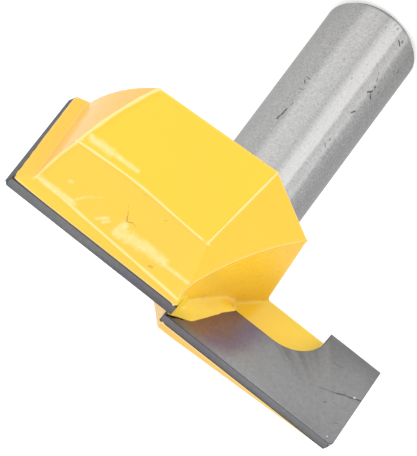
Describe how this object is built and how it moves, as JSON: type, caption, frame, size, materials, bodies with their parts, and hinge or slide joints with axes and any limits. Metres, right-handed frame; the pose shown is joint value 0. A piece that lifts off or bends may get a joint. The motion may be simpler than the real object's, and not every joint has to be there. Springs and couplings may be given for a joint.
{
  "type": "surfacing router bit",
  "caption": "Wide bottom-cutting router bit: plain round shank, yellow milled disc body with steep gullets, and hooked carbide blades brazed across its face.",
  "frame": {"origin": "centre of the shank's end face", "axes": "+Z along the shank toward the cutting edges, X along the cutting edges"},
  "size_m": [0.0518, 0.035, 0.055],
  "materials": {
    "painted_body": "glossy yellow paint over steel, thin along the ridges, bare on the shank",
    "carbide": "ground carbide, fine satin, heat tint beside the braze",
    "ground_steel": "bare ground steel of the shank, lightly pitted"
  },
  "bodies": {
    "root": {"body": "painted_body", "blade_a": "carbide", "blade_b": "carbide"}
  },
  "joints": []
}
